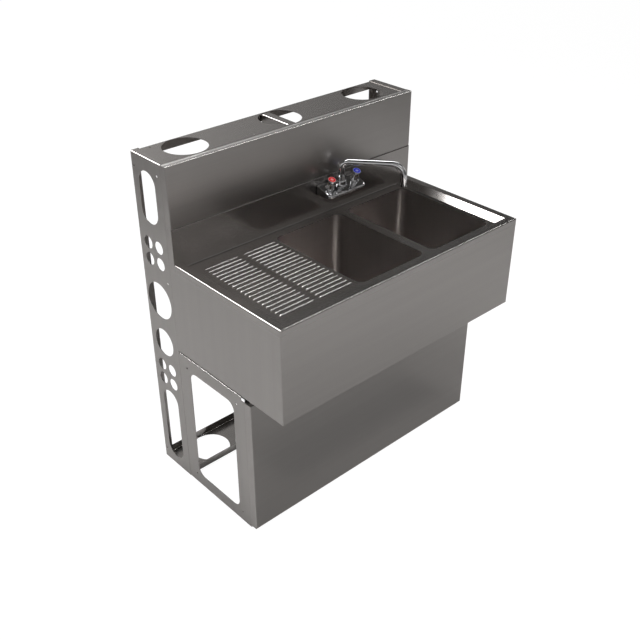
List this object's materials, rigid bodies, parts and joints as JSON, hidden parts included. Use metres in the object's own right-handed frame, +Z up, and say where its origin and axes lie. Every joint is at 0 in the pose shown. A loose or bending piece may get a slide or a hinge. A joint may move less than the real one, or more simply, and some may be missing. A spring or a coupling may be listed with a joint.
{
  "type": "underbar sink with ice bin",
  "caption": "Freestanding underbar sink with ribbed drainboard, insulated ice bin, sink bowl, open pipe chase, base frame and splash-mounted swivel faucet.",
  "frame": {"origin": "on the floor, under the middle of the unit's width and depth", "axes": "+X to the right for a person who stands at the sink, +Y towards the wall behind the unit, +Z up"},
  "size_m": [0.9144, 0.603, 1.0414],
  "materials": {
    "frame_steel": "brushed stainless sheet",
    "sink_steel": "brushed stainless sheet",
    "bowl_steel": "satin stainless, drawn",
    "casing_steel": "galvanised sheet",
    "fastener_steel": "plain stainless",
    "faucet_chrome": "polished chrome",
    "drain_steel": "polished stainless",
    "drain_plastic": "moulded, light grey",
    "seal_rubber": "matt black",
    "foam": "rigid foam",
    "valve_brass": "machined",
    "index_red": "glossy",
    "index_blue": "glossy"
  },
  "bodies": {
    "unit": {"chase_side_left": "frame_steel", "chase_side_right": "frame_steel", "chase_divider": "frame_steel", "chase_top_plate": "frame_steel", "chase_bottom_plate": "frame_steel", "chase_front_skin": "frame_steel", "base_side_left": "frame_steel", "base_side_right": "frame_steel", "base_front_skin": "frame_steel", "base_rail_front_top": "frame_steel", "base_rail_front_bottom": "frame_steel", "base_rail_rear_top": "frame_steel", "deck_pan": "sink_steel", "apron_front": "sink_steel", "apron_left": "sink_steel", "apron_right": "sink_steel", "sink_bowl": "bowl_steel", "ice_bin_liner": "bowl_steel", "frame_bolts": "fastener_steel", "frame_nuts": "fastener_steel", "seat_pads": "seal_rubber", "ice_bin_foam": "foam", "ice_bin_casing": "casing_steel", "sink_drain_body": "drain_steel", "sink_drain_gasket": "seal_rubber", "sink_drain_nut": "drain_plastic", "sink_tailpiece": "drain_steel", "tailpiece_nut": "drain_plastic", "ice_drain_body": "drain_steel", "ice_drain_gasket": "seal_rubber", "ice_drain_nut": "drain_plastic", "faucet_body": "faucet_chrome", "faucet_gasket": "seal_rubber", "faucet_washers": "fastener_steel", "faucet_nuts": "valve_brass", "valve_bonnets": "faucet_chrome", "spout_nut": "faucet_chrome", "spout_seal": "seal_rubber"},
    "spout_arm": {"spout": "faucet_chrome", "outlet_insert": "drain_plastic"},
    "hot_valve": {"hot_handle": "faucet_chrome", "hot_index": "index_red", "hot_stem": "valve_brass", "hot_handle_screw": "fastener_steel"},
    "cold_valve": {"cold_handle": "faucet_chrome", "cold_index": "index_blue", "cold_stem": "valve_brass", "cold_handle_screw": "fastener_steel"},
    "strainer": {"strainer_basket": "drain_steel"}
  },
  "joints": [
    {"name": "spout_swivel", "type": "hinge", "parent": "unit", "child": "spout_arm", "pos_m": [0.1318, 0.1124, 0.87], "axis": [0, 0, 1], "range_deg": [-128, 48]},
    {"name": "hot_turn", "type": "hinge", "parent": "unit", "child": "hot_valve", "pos_m": [0.081, 0.1084, 0.83616], "axis": [0, -0.3387, 0.9409], "range_deg": [0, 90]},
    {"name": "cold_turn", "type": "hinge", "parent": "unit", "child": "cold_valve", "pos_m": [0.1826, 0.1084, 0.83616], "axis": [0, -0.3387, 0.9409], "range_deg": [0, 90]},
    {"name": "strainer_lift", "type": "slide", "parent": "unit", "child": "strainer", "axis": [0, 0, 1], "range_m": [0, 0.12]}
  ]
}
